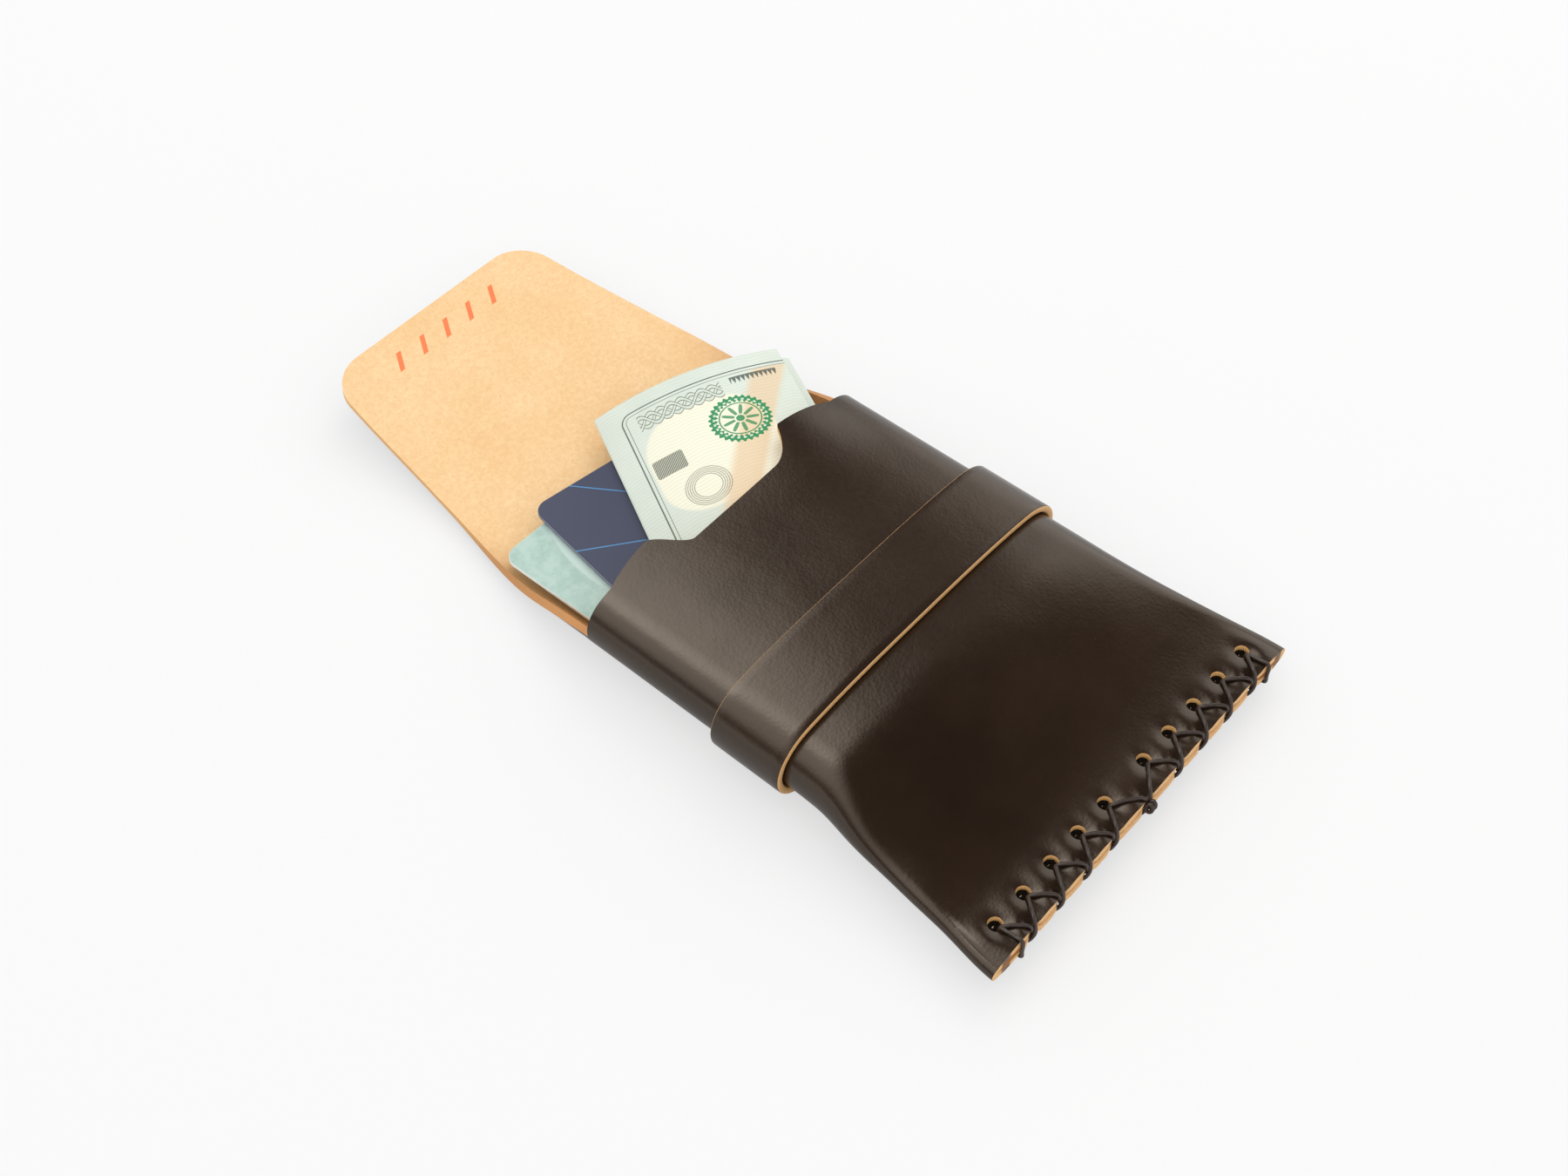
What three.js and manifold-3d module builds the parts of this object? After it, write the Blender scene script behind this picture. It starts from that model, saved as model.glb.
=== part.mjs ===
// A slim leather card wallet, lying on its back with the flap open.
//
// One sheet of leather is wrapped into a flat tube and runs on past the mouth as the flap. The
// tube's closed end is pressed flat and laced over its edge with waxed thread. A leather keeper
// band rides round the tube; the flap tucks under it when the wallet is shut. Two cards and a
// folded note stand in the pocket.
//
// Millimetres. X runs across the wallet, +Y from the laced end towards the flap, +Z up.
// Lengths below are counted from the laced edge; the whole is centred on Y at the end.
import * as THREE from "three";
import { mergeVertices } from "three/addons/utils/BufferGeometryUtils.js";
import Module from "manifold-3d";

const wasm = await Module();
wasm.setup();

// Leather
const leather = 1.4;
const bandLeather = 1.4;
const layerGap = 0.3; // between the two layers where the end is pressed flat
const fitGap = 0.35; // between the tube and its keeper band
const restGap = 0.3; // between pieces that lie on each other

// Tube
const tubeWidth = 74.6;
const tubeHeight = 13;
const tubeLength = 97.4; // laced edge to the mouth's sides
const seamWidth = 85.2;
const seamSkew = -0.6; // the laced end sits a little to the left
const seamLift = 4.4; // under the laced end
const flatMargin = 6.8; // the pressed-flat strip along the laced edge
const flareLength = 36; // over which the tube swells from flat to full height
const crown = 0.9; // bow of the front panel
const lipRise = 2.2; // the front panel springs up where the note leaves the pocket
const lipReach = 20;
const lipX = 22;
const lipSpread = 13;

// Thumb notch in the front panel's mouth, between two raised shoulders
const shoulderRise = 2.8;
const notchFloor = 93.2; // laced edge to its straight bottom
const notchLeft = -18.6; // its top corners
const notchRight = 17;
const notchLeftSlope = 6.4; // run of each slanting end
const notchRightSlope = 4.8;

// Keeper band
const bandStart = 49.4;
const bandWidth = 15.8;

// Flap
const flapLength = 86;
const flapTipWidth = 53.6;
const flapSkew = 1.7; // the open flap leans to the right half way along
const tipSkew = 0.5;
const skewStart = 15;
const skewFull = 45;
const flapCorner = 7.5;
const uncurlLength = 58; // over which its curled sides open flat
const flapTouch = 22; // where it meets the table, past the mouth
const flapTipRise = 8.6;

// Lacing
const holeRadius = 1.35;
const holeInset = 5.2;
const holePitch = 7.5;
const holesPerSide = 5;
const middleGap = 11.3;
const threadRadius = 0.44;
const threadSides = 6;
const threadStandoff = threadRadius + 0.3;
const postRadius = threadRadius * 1.2;
const postInset = holeInset - holeRadius + postRadius + 0.3; // the thread pulls towards the edge
const punchLength = 30;

// Pocket contents
const cardLong = 85.6;
const cardShort = 53.98;
const cardThick = 0.76;
const cardCorner = 3.18;
const noteWidth = 39;
const noteLength = 66.3;
const noteLayer = 0.34;
const noteBow = 3.2;
const noteSteps = 12;
const noteOffset = 2.6; // how far its hidden layers reach past the front one
const noteLean = 8; // degrees; its right edge rides up on the flap's curled side
const noteSpring = 3; // degrees by which its two layers spring apart

// Where each thing's top left corner is: across, along from the laced edge, turned by degrees
const greenSpot = { x: -33.8, y: 124.4, turn: 0.6 };
const navySpot = { x: -22.2, y: 128.3, turn: -7.9 };
const noteSpot = { x: 2, y: 134.8, turn: -26.8 };
const contentSlope = 2; // degrees down to the right, from the tube's round left side
const contentRise = 1.9; // of the lower card's left edge over the pocket's floor

const smooth = (low, high, value) => {
  const t = Math.min(1, Math.max(0, (value - low) / (high - low)));
  return t * t * (3 - 2 * t);
};
const mix = (a, b, t) => a + (b - a) * t;

// The middle of the leather, round the tube
const backLift = bandLeather + fitGap; // the band's back lies on the table
const bodyRise = tubeHeight - leather;
const seamRise = leather + layerGap;

function tubeSection(y) {
  const t = smooth(flatMargin, flatMargin + flareLength, y);
  const height = mix(seamRise, bodyRise, t);
  const width = mix(seamWidth, tubeWidth, smooth(0, flatMargin + flareLength, y)) - leather;
  return {
    straight: (width - height) / 2,
    radius: height / 2,
    base: mix(seamLift, backLift, t) + leather / 2,
    skew: mix(seamSkew, 0, t),
    crown: crown * t,
  };
}

// Columns of the sheet: front from left to right, right side, back, left side
const frontColumns = 22;
const sideColumns = 8;
const backColumns = 10;
const columns = [];
for (let i = 0; i < frontColumns; i++) columns.push({ zone: "front", s: (2 * i) / frontColumns - 1 });
for (let i = 0; i < sideColumns; i++) columns.push({ zone: "right", s: i / sideColumns });
for (let i = 0; i < backColumns; i++) columns.push({ zone: "back", s: 1 - (2 * i) / backColumns });
for (let i = 0; i < sideColumns; i++) columns.push({ zone: "left", s: i / sideColumns });
const columnCount = columns.length;
const flapFirst = frontColumns + sideColumns / 2; // half way down the right side
const flapLast = frontColumns + sideColumns + backColumns + sideColumns / 2;

function lipLift(x, y, length) {
  const along = smooth(length - lipReach, length, y);
  return lipRise * along * Math.exp(-(((x - lipX) / lipSpread) ** 2));
}

// A point on the section, with the outward normal in the XZ plane
function onSection(section, column, y, length) {
  const { straight, radius, base, skew } = section;
  const top = base + 2 * radius;
  if (column.zone === "front") {
    const x = straight * column.s;
    const bow = section.crown * (1 - column.s ** 2);
    const slope = (2 * section.crown * column.s) / Math.max(straight, 1);
    const lift = lipLift(x, y, length) * (1 - column.s ** 6);
    return { x: x + skew, z: top + bow + lift, nx: slope, nz: 1 };
  }
  if (column.zone === "back") return { x: straight * column.s + skew, z: base, nx: 0, nz: -1 };
  const side = column.zone === "right" ? 1 : -1;
  const turn = Math.PI * (side > 0 ? 0.5 - column.s : -0.5 - column.s);
  const nx = Math.cos(turn);
  const nz = Math.sin(turn);
  return { x: side * straight + radius * nx + skew, z: base + radius + radius * nz, nx, nz };
}

// Where the front panel's edge runs, by its X
function mouthAt(x) {
  const across = x / tubeSection(tubeLength).straight;
  const shoulders = tubeLength + shoulderRise * (1 - across ** 4);
  const left = smooth(notchLeft - 0.5, notchLeft + notchLeftSlope, x);
  const right = 1 - smooth(notchRight - notchRightSlope, notchRight + 0.5, x);
  return mix(shoulders, notchFloor, Math.min(left, right));
}

// A sheet's closed solid from a grid of points and normals. present(row, column) says which cells
// of the grid hold leather; the rims are closed wherever a cell has no neighbour.
function sheetSolid(rows, count, pointAt, present, thickness) {
  const vertices = [];
  for (let row = 0; row <= rows; row++) {
    for (let column = 0; column < count; column++) {
      const { p, n } = pointAt(row, column);
      for (const side of [1, -1]) {
        vertices.push(...p.clone().addScaledVector(n, (side * thickness) / 2).toArray());
      }
    }
  }
  const at = (row, column, side) => (row * count + (column % count)) * 2 + side;
  const faces = [];
  const quad = (a, b, c, d) => faces.push(a, c, b, a, d, c);
  const has = (row, column) => row >= 0 && row < rows && present(row, (column + count) % count);
  for (let row = 0; row < rows; row++) {
    for (let column = 0; column < count; column++) {
      if (!has(row, column)) continue;
      const next = column + 1;
      quad(at(row, column, 0), at(row + 1, column, 0), at(row + 1, next, 0), at(row, next, 0));
      quad(at(row, column, 1), at(row, next, 1), at(row + 1, next, 1), at(row + 1, column, 1));
      if (!has(row - 1, column))
        quad(at(row, column, 0), at(row, next, 0), at(row, next, 1), at(row, column, 1));
      if (!has(row + 1, column))
        quad(at(row + 1, next, 0), at(row + 1, column, 0), at(row + 1, column, 1), at(row + 1, next, 1));
      if (!has(row, column - 1))
        quad(at(row + 1, column, 0), at(row, column, 0), at(row, column, 1), at(row + 1, column, 1));
      if (!has(row, next))
        quad(at(row, next, 0), at(row + 1, next, 0), at(row + 1, next, 1), at(row, next, 1));
    }
  }
  return solidFrom(Float32Array.from(vertices), Uint32Array.from(faces));
}

function solidFrom(positions, indices) {
  const geometry = new THREE.BufferGeometry();
  geometry.setAttribute("position", new THREE.BufferAttribute(positions, 3));
  geometry.setIndex(new THREE.BufferAttribute(indices, 1));
  return solidOf(geometry);
}

function solidOf(geometry) {
  const bare = geometry.clone();
  for (const name of Object.keys(bare.attributes)) if (name !== "position") bare.deleteAttribute(name);
  const merged = mergeVertices(bare, 1e-4);
  return new wasm.Manifold(
    new wasm.Mesh({
      numProp: 3,
      vertProperties: merged.attributes.position.array,
      triVerts: Uint32Array.from(merged.index.array),
    }),
  );
}

function geometryOf(solid) {
  const mesh = solid.getMesh();
  const geometry = new THREE.BufferGeometry();
  geometry.setAttribute("position", new THREE.BufferAttribute(Float32Array.from(mesh.vertProperties), 3));
  geometry.setIndex(new THREE.BufferAttribute(Uint32Array.from(mesh.triVerts), 1));
  geometry.computeVertexNormals();
  return geometry;
}

// The sheet: tube rows from the laced edge to the mouth, then flap rows to its tip
const marginRows = 3;
const flareRows = 9;
const bodyRows = 9;
const tubeRows = marginRows + flareRows + bodyRows;
const flapRows = 16;

function tubeRowShare(row) {
  const flareEnd = flatMargin + flareLength;
  if (row <= marginRows) return (row / marginRows) * flatMargin;
  if (row <= marginRows + flareRows) return flatMargin + ((row - marginRows) / flareRows) * flareLength;
  return mix(flareEnd, tubeLength, (row - marginRows - flareRows) / bodyRows);
}

function tubePoint(row, column) {
  const even = tubeRowShare(row);
  const guess = onSection(tubeSection(even), columns[column], even, tubeLength);
  const inFront = columns[column].zone === "front";
  const edge = inFront ? mouthAt(guess.x) : tubeLength;
  // the rows above the flare are drawn in towards the notch
  const flareEnd = flatMargin + flareLength;
  const y = even <= flareEnd ? even : flareEnd + ((even - flareEnd) * (edge - flareEnd)) / (tubeLength - flareEnd);
  const point = onSection(tubeSection(y), columns[column], y, edge);
  return {
    p: new THREE.Vector3(point.x, y, point.z),
    n: new THREE.Vector3(point.nx, 0, point.nz).normalize(),
  };
}

function flapCentreHeight(past) {
  const dip = backLift * smooth(0, flapTouch, past);
  const rise = Math.max(0, (past - flapTouch) / (flapLength - flapTouch));
  return backLift + leather / 2 - dip + flapTipRise * rise ** 1.6;
}

// Half the flap's cut width at a distance past the mouth, with its tip corners rounded
function flapHalfWidth(past, start) {
  const half = mix(start, flapTipWidth / 2, past / flapLength);
  const into = Math.max(0, past - (flapLength - flapCorner));
  return half - flapCorner + Math.sqrt(Math.max(0, flapCorner ** 2 - into ** 2));
}

function flapPast(step) {
  const roundRows = 5;
  const plainRows = flapRows - roundRows;
  if (step <= plainRows) return (step / plainRows) * (flapLength - flapCorner);
  const turn = (((step - plainRows) / roundRows) * Math.PI) / 2;
  return flapLength - flapCorner + flapCorner * Math.sin(turn);
}

function flapPoint(step, column) {
  const past = flapPast(step);
  const { straight, radius } = tubeSection(tubeLength);
  const curlArc = (Math.PI * radius) / 2;
  const flatHalf = straight + curlArc;
  // distance from the centre line across the cut sheet, before the taper
  const { zone, s } = columns[column];
  let across = straight * s;
  if (zone === "right") across = straight + (1 - s) * 2 * curlArc;
  if (zone === "left") across = -straight - s * 2 * curlArc;
  const scale = flapHalfWidth(past, flatHalf) / flatHalf;
  const sign = Math.sign(across) || 1;
  const curlStart = straight * scale;
  const beyond = Math.abs(across) * scale - curlStart;
  const angle = Math.max(1e-4, (Math.PI / 2) * (1 - smooth(0, uncurlLength, past)));
  const bend = (curlArc * scale) / angle;
  const z = flapCentreHeight(past);
  const lean = mix(flapSkew, tipSkew, smooth(skewFull, flapLength, past)) * smooth(skewStart, skewFull, past);
  if (beyond <= 0)
    return {
      p: new THREE.Vector3(across * scale + lean, tubeLength + past, z),
      n: new THREE.Vector3(0, 0, -1),
    };
  const turn = beyond / bend;
  return {
    p: new THREE.Vector3(
      sign * (curlStart + bend * Math.sin(turn)) + lean,
      tubeLength + past,
      z + bend * (1 - Math.cos(turn)),
    ),
    n: new THREE.Vector3(sign * Math.sin(turn), 0, -Math.cos(turn)),
  };
}

function holeXs() {
  const xs = [];
  for (let i = 0; i < holesPerSide; i++) xs.push(middleGap / 2 + i * holePitch);
  return [...xs.map((x) => -x).reverse(), ...xs];
}

function sleeve() {
  const pointAt = (row, column) =>
    row <= tubeRows ? tubePoint(row, column) : flapPoint(row - tubeRows, column);
  const present = (row, column) => row < tubeRows || (column >= flapFirst && column < flapLast);
  let solid = sheetSolid(tubeRows + flapRows, columnCount, pointAt, present, leather);
  if (solid.volume() < 0) throw new Error("the sheet is inside out");
  for (const x of holeXs()) {
    const punch = new THREE.CylinderGeometry(holeRadius, holeRadius, punchLength, 14);
    punch.rotateX(Math.PI / 2);
    punch.translate(x, holeInset, seamLift);
    solid = solid.subtract(solidOf(punch));
  }
  return geometryOf(solid);
}

// The band follows the tube's own section, set off by the fit gap
function keeperBand() {
  const middle = bandStart + bandWidth / 2;
  const section = tubeSection(middle);
  const away = leather / 2 + fitGap + bandLeather / 2;
  const rows = 2;
  const pointAt = (row, column) => {
    const point = onSection(section, columns[column], middle, tubeLength);
    const n = new THREE.Vector3(point.nx, 0, point.nz).normalize();
    const p = new THREE.Vector3(point.x, bandStart + (row / rows) * bandWidth, point.z);
    return { p: p.addScaledVector(n, away), n };
  };
  return geometryOf(sheetSolid(rows, columnCount, pointAt, () => true, bandLeather));
}

// A round thread along a smooth line
function threadAlong(points, steps) {
  const round = new THREE.Shape();
  round.absarc(0, 0, threadRadius, 0, Math.PI * 2);
  const line = new THREE.CatmullRomCurve3(points, false, "centripetal");
  return solidOf(
    new THREE.ExtrudeGeometry(round, {
      steps,
      curveSegments: threadSides / 2,
      bevelEnabled: false,
      extrudePath: line,
    }),
  );
}

// The thread passes straight down each hole
const threadBottom = seamLift - threadStandoff;
const threadTop = seamLift + 2 * leather + layerGap + threadStandoff;

function holePost(x) {
  const height = threadTop - threadBottom + threadRadius;
  const post = new THREE.CylinderGeometry(postRadius, postRadius, height, 8);
  post.rotateX(Math.PI / 2);
  post.translate(x, postInset, (threadTop + threadBottom) / 2);
  return solidOf(post);
}

// One stitch, from the top of a hole slantwise over the edge and down to the next hole's underside
function stitch(fromX, toX) {
  const middle = (threadTop + threadBottom) / 2;
  const corner = threadStandoff * 0.74;
  const at = (share, y, z) => new THREE.Vector3(mix(fromX, toX, share), y, z);
  return threadAlong(
    [
      at(0, postInset, threadTop),
      at(0.17, postInset * 0.6, threadTop + 0.04),
      at(0.33, postInset * 0.2, threadTop),
      at(0.42, -corner, threadTop - threadStandoff + corner),
      at(0.5, -threadStandoff, middle),
      at(0.58, -corner, threadBottom + threadStandoff - corner),
      at(0.67, postInset * 0.2, threadBottom),
      at(0.83, postInset * 0.6, threadBottom - 0.04),
      at(1, postInset, threadBottom),
    ],
    12,
  );
}

// The two ends of the thread are tied over the edge, in the wide space between the middle holes
function knot() {
  const ring = new THREE.TorusGeometry(threadRadius * 1.9, threadRadius, threadSides, 12);
  ring.rotateY(Math.PI / 2);
  ring.rotateZ(0.5);
  ring.translate(0, -threadStandoff - threadRadius, (threadTop + threadBottom) / 2);
  return solidOf(ring);
}

function lacing() {
  const xs = holeXs();
  const last = xs.length - 1;
  let solid = stitch(xs[0], xs[0]).add(stitch(xs[last], xs[last])).add(knot());
  for (const x of xs) solid = solid.add(holePost(x));
  for (let i = 0; i < last; i++) {
    solid = solid.add(stitch(xs[i], xs[i + 1])).add(stitch(xs[i + 1], xs[i]));
  }
  return geometryOf(solid);
}

function cardShape() {
  const shape = new THREE.Shape();
  const w = cardShort;
  const h = cardLong;
  const r = cardCorner;
  // its outer left corner at the shape's origin, running right and down
  shape.moveTo(r, 0);
  shape.lineTo(w - r, 0);
  shape.absarc(w - r, -r, r, Math.PI / 2, 0, true);
  shape.lineTo(w, -h + r);
  shape.absarc(w - r, -h + r, r, 0, -Math.PI / 2, true);
  shape.lineTo(r, -h);
  shape.absarc(r, -h + r, r, -Math.PI / 2, -Math.PI, true);
  shape.lineTo(0, -r);
  shape.absarc(r, -r, r, Math.PI, Math.PI / 2, true);
  return shape;
}

function cardGeometry() {
  return new THREE.ExtrudeGeometry(cardShape(), { depth: cardThick, bevelEnabled: false, curveSegments: 6 });
}

// The note is folded in four: two doubled layers that turn at its left edge, bowed across
function noteGeometry() {
  const arch = (noteWidth ** 2 / 4 + noteBow ** 2) / (2 * noteBow);
  const spread = Math.asin(noteWidth / 2 / arch);
  const sink = THREE.MathUtils.degToRad(noteSpring);
  const shape = new THREE.Shape();
  const line = (radius, from, to, turnDown, first) => {
    for (let i = 0; i <= noteSteps; i++) {
      const turn = mix(from, to, i / noteSteps);
      const x = noteWidth / 2 + radius * Math.sin(turn);
      const z = radius * Math.cos(turn) - arch + noteBow;
      const point = [x * Math.cos(turnDown) + z * Math.sin(turnDown), z * Math.cos(turnDown) - x * Math.sin(turnDown)];
      if (first && i === 0) shape.moveTo(...point);
      else shape.lineTo(...point);
    }
  };
  const total = 2 * noteLayer + layerGap;
  const longer = spread + noteOffset / arch;
  line(arch + total, -spread, spread, 0, true);
  line(arch + total - noteLayer, spread, -spread * 0.97, 0, false);
  line(arch + noteLayer, -spread * 0.97, longer, sink, false);
  line(arch, longer, -spread, sink, false);
  const geometry = new THREE.ExtrudeGeometry(shape, { depth: noteLength, bevelEnabled: false, steps: 1 });
  geometry.rotateX(Math.PI / 2); // the shape's height becomes Z, its depth runs towards -Y
  geometry.rotateY(THREE.MathUtils.degToRad(-noteLean));
  return geometry;
}

function material(color, roughness) {
  return new THREE.MeshStandardMaterial({ color, roughness, metalness: 0 });
}

function piece(name, geometry, look) {
  const mesh = new THREE.Mesh(geometry, look);
  mesh.name = name;
  return mesh;
}

// The contents lie on a plane that slopes down to the right from the tube's round left side
const slope = THREE.MathUtils.degToRad(contentSlope);
const contentFloor = backLift + leather + restGap + contentRise;

// Puts a flat thing's top left corner on its spot over that plane
function lay(mesh, spot, lift) {
  const z = contentFloor + lift / Math.cos(slope) - (spot.x - greenSpot.x) * Math.tan(slope);
  mesh.position.set(spot.x, spot.y, z);
  mesh.rotation.set(0, slope, THREE.MathUtils.degToRad(spot.turn), "YZX");
  return mesh;
}

const darkLeather = material(0x2e2520, 0.38);
const thread = material(0x33291f, 0.8);

const wallet = new THREE.Group();
wallet.add(piece("sleeve", sleeve(), darkLeather));
wallet.add(piece("keeper_band", keeperBand(), darkLeather));
wallet.add(piece("lacing_thread", lacing(), thread));

const greenCard = piece("card_green", cardGeometry(), material(0xa9c5b9, 0.4));
const navyCard = piece("card_navy", cardGeometry(), material(0x3e4563, 0.35));
const note = piece("banknote", noteGeometry(), material(0xdbe6dd, 0.8));
wallet.add(lay(greenCard, greenSpot, 0));
wallet.add(lay(navyCard, navySpot, cardThick + restGap));
wallet.add(lay(note, noteSpot, 2 * (cardThick + restGap) + 0.1));

// The frame's origin is under the middle of the open wallet
const extent = new THREE.Box3().setFromObject(wallet);
wallet.position.x = -(extent.min.x + extent.max.x) / 2;
wallet.position.y = -(extent.min.y + extent.max.y) / 2;

export default wallet;
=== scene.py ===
# %% [markdown]
# # A slim leather card wallet
#
# One sheet of dark leather is wrapped into a flat tube, laced over its pressed end, and runs on
# past the mouth as an open flap with its tan inner side up. A keeper band slides round the tube.
# Two cards and a folded note stand in the pocket.
#
# Lengths in this script are millimetres counted from the laced edge, the same as in the solids.

# %%
import bpy
import bmesh
import functools
import math
from mathutils import Matrix, Vector, noise


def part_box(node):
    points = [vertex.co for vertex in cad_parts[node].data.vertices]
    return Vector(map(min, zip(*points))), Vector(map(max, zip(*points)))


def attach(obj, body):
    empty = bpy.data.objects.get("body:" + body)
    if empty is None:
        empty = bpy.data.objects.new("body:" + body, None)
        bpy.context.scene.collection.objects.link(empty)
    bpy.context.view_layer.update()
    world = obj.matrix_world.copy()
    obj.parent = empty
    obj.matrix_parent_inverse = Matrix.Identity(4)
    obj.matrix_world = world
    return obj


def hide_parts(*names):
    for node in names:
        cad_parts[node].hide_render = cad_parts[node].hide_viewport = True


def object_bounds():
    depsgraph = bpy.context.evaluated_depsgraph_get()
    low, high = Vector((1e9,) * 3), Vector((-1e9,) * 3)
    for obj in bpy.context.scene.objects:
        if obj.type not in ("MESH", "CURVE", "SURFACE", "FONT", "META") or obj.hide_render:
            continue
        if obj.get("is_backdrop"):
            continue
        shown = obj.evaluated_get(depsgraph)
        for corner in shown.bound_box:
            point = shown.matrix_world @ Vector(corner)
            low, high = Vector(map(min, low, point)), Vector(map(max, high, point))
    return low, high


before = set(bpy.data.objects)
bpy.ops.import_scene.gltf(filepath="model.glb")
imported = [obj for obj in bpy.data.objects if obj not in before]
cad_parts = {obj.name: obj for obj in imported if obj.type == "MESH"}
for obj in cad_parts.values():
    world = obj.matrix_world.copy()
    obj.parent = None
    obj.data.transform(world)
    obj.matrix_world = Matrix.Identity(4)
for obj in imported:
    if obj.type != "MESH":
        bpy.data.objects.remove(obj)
cad_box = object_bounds()
MM = 0.001
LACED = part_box("sleeve")[0][1] / MM  # the laced edge, in the frame
SEAM_WIDTH, SEAM_SKEW = 85.2, -0.6
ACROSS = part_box("sleeve")[0][0] / MM + SEAM_WIDTH / 2 - SEAM_SKEW  # the tube's middle, in the frame
print("laced edge at y", round(LACED, 3), "tube's middle at x", round(ACROSS, 3))

# %% [markdown]
# ## Camera and light
#
# The camera's place and lens come from fitting the wallet's outline in the photograph.

# %%
PHOTO_W, FOCAL, SENSOR = 1800, 2208.0, 36.0  # photograph and lens in pixels, sensor in mm
CAMERA_X, CAMERA_Y, CAMERA_Z = -162.7, -76.6, 287.0
scene = bpy.context.scene
scene.view_settings.view_transform = "Standard"


def new_object(name, data):
    thing = bpy.data.objects.new(name, data)
    scene.collection.objects.link(thing)
    return thing


def set_camera(place, azimuth, elevation, roll):
    a, e, w = (math.radians(v) for v in (azimuth, elevation, roll))
    back = Vector((math.sin(a) * math.cos(e), -math.cos(a) * math.cos(e), math.sin(e)))
    right = Vector((math.cos(a), math.sin(a), 0))
    up = back.cross(right)
    r = math.cos(w) * right + math.sin(w) * up
    u = -math.sin(w) * right + math.cos(w) * up
    data = bpy.data.cameras.new("camera")
    data.sensor_width = SENSOR
    data.lens = FOCAL / PHOTO_W * SENSOR
    data.clip_start = 0.01
    camera = new_object("camera", data)
    turn = Matrix((r, u, back)).transposed().to_4x4()
    camera.matrix_world = Matrix.Translation(place) @ turn
    scene.camera = camera
    return camera


camera_place = Vector(((CAMERA_X + ACROSS) * MM, (CAMERA_Y + LACED) * MM, CAMERA_Z * MM))
camera = set_camera(camera_place, azimuth=-45.51, elevation=51.81, roll=-3.6)
print("camera at", [round(v, 4) for v in camera.location])

# %% [markdown]
# One soft key light stands to the right of the wallet, and behind it.

# %%
def direction(azimuth, elevation):
    a, e = math.radians(azimuth), math.radians(elevation)
    return (math.sin(a) * math.cos(e), math.cos(a) * math.cos(e), math.sin(e))


KEY_AWAY, KEY_SIZE, KEY_POWER = 1.3, 0.7, 3.4
light = bpy.data.lights.new("key", "AREA")
light.shape = "RECTANGLE"
light.size = light.size_y = KEY_SIZE
light.energy = KEY_POWER
light.color = (1.0, 0.99, 0.97)
key = new_object("key", light)
key_place = Vector([KEY_AWAY * v for v in direction(72, 42)])
key.matrix_world = Matrix.Translation(key_place) @ key_place.to_track_quat("Z", "Y").to_matrix().to_4x4()
key.visible_glossy = False
print("key light at", [round(v, 3) for v in key.location])

# %% [markdown]
# The room gives an even white light. What shines back from the leather is a dim ceiling with
# a few large, soft lamps standing around the table, and the white backdrop near the horizon.

# %%
# each lamp's azimuth and elevation, the angles where it is full and where it ends, its strength
LAMPS = ((4, 52, 14, 27, 3.6), (-34, 47, 10, 40, 2.3), (80, 30, 13, 27, 2.0),
         (150, 24, 12, 30, 2.0), (205, 42, 14, 30, 1.8), (258, 36, 12, 28, 1.0))
CEILING = 0.02
BACKDROP_TOP, BACKDROP_FULL, BACKDROP_POWER = 0.34, 0.04, 1.4  # heights are sines of the elevation


def studio_world():
    world = bpy.data.worlds.new("studio")
    scene.world = world
    world.use_nodes = True
    nodes, links = world.node_tree.nodes, world.node_tree.links
    nodes.clear()

    def ease(value, low, high, power):
        node = nodes.new("ShaderNodeMapRange")
        node.interpolation_type = "SMOOTHSTEP"
        node.inputs["From Min"].default_value = low
        node.inputs["From Max"].default_value = high
        node.inputs["To Max"].default_value = power
        links.new(value, node.inputs["Value"])
        return node.outputs[0]

    def plus(value, total):
        node = nodes.new("ShaderNodeMath")
        links.new(value, node.inputs[0])
        if total:
            links.new(total, node.inputs[1])
        else:
            node.inputs[1].default_value = CEILING
        return node.outputs[0]

    place = nodes.new("ShaderNodeTexCoord").outputs["Generated"]
    total = None
    for azimuth, elevation, full, end, power in LAMPS:
        dot = nodes.new("ShaderNodeVectorMath")
        dot.operation = "DOT_PRODUCT"
        links.new(place, dot.inputs[0])
        dot.inputs[1].default_value = direction(azimuth, elevation)
        full, end = math.cos(math.radians(full)), math.cos(math.radians(end))
        total = plus(ease(dot.outputs["Value"], end, full, power), total)
    height = nodes.new("ShaderNodeSeparateXYZ")
    links.new(place, height.inputs[0])
    total = plus(ease(height.outputs["Z"], BACKDROP_TOP, BACKDROP_FULL, BACKDROP_POWER), total)

    even, room = nodes.new("ShaderNodeBackground"), nodes.new("ShaderNodeBackground")
    even.inputs["Strength"].default_value = 1.0
    even.inputs["Color"].default_value = (1, 1, 1, 1)
    room.inputs["Color"].default_value = (1.0, 0.97, 0.93, 1)
    links.new(total, room.inputs["Strength"])
    rays, choose = nodes.new("ShaderNodeLightPath"), nodes.new("ShaderNodeMixShader")
    links.new(rays.outputs["Is Glossy Ray"], choose.inputs[0])
    links.new(even.outputs[0], choose.inputs[1])
    links.new(room.outputs[0], choose.inputs[2])
    links.new(choose.outputs[0], nodes.new("ShaderNodeOutputWorld").inputs[0])


studio_world()
print("studio with", len(LAMPS), "lamps")

# %% [markdown]
# ## The section of the tube
#
# The same numbers as in the solids: a stadium-shaped section that is pressed flat at the laced
# edge, swells to full height, and keeps its height up to the mouth. Here the front panel is
# crowned a little more, the sides bend more softly, and the left of the flare is drawn in.

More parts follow.
